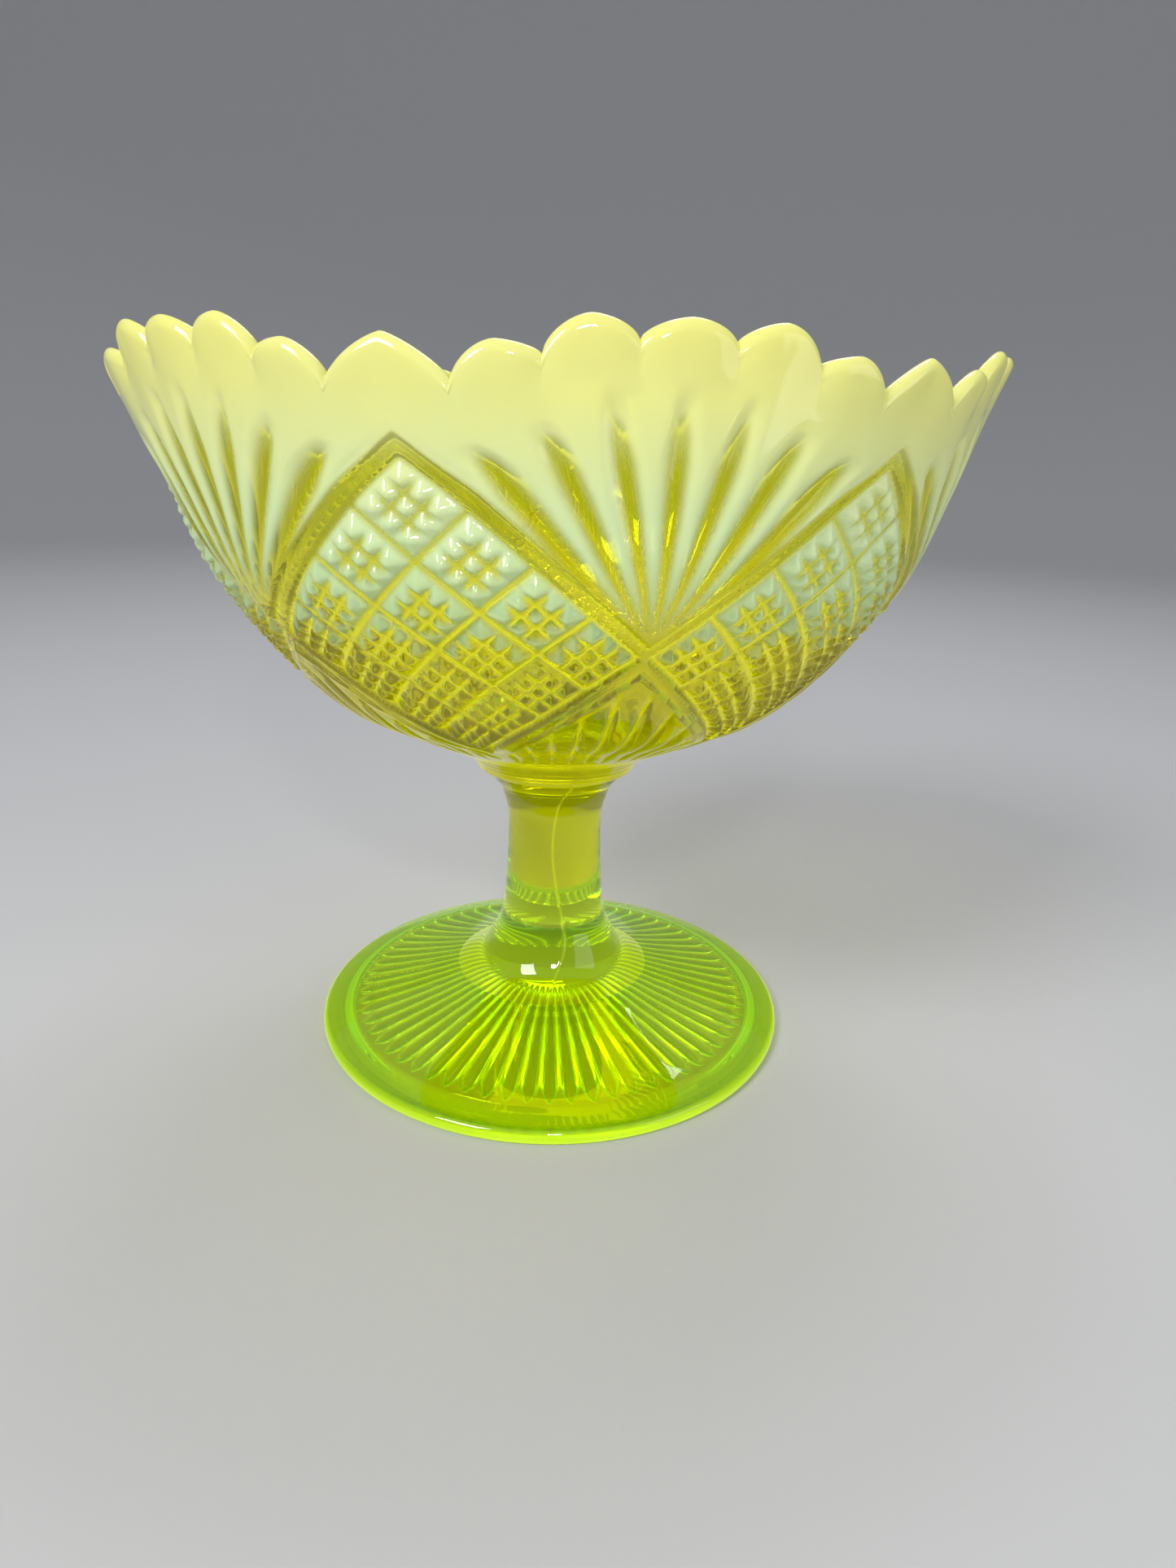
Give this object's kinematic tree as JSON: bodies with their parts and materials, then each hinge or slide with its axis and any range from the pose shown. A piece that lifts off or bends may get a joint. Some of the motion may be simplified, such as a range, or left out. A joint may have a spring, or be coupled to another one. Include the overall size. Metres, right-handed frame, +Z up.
{
  "type": "footed glass dish",
  "caption": "Footed oval pressed-glass dish with a scalloped rim, moulded fans and diamond panels, on a waisted stem and a round ribbed foot.",
  "frame": {"origin": "middle of the circle that the foot stands on, at table height", "axes": "+Z up the stem; +X along the oval bowl's long axis; the nearest fan's middle stands 12.4 degrees from -Y towards +X"},
  "size_m": [0.2092, 0.1592, 0.1777],
  "materials": {
    "opal_uranium_glass": "fire-polished, milky at the rim and clear lower down",
    "clear_uranium_glass": "fire-polished, clear yellow-green"
  },
  "bodies": {
    "root": {"bowl": "opal_uranium_glass", "joining_wafer": "clear_uranium_glass", "stem": "clear_uranium_glass", "foot": "clear_uranium_glass"}
  },
  "joints": []
}
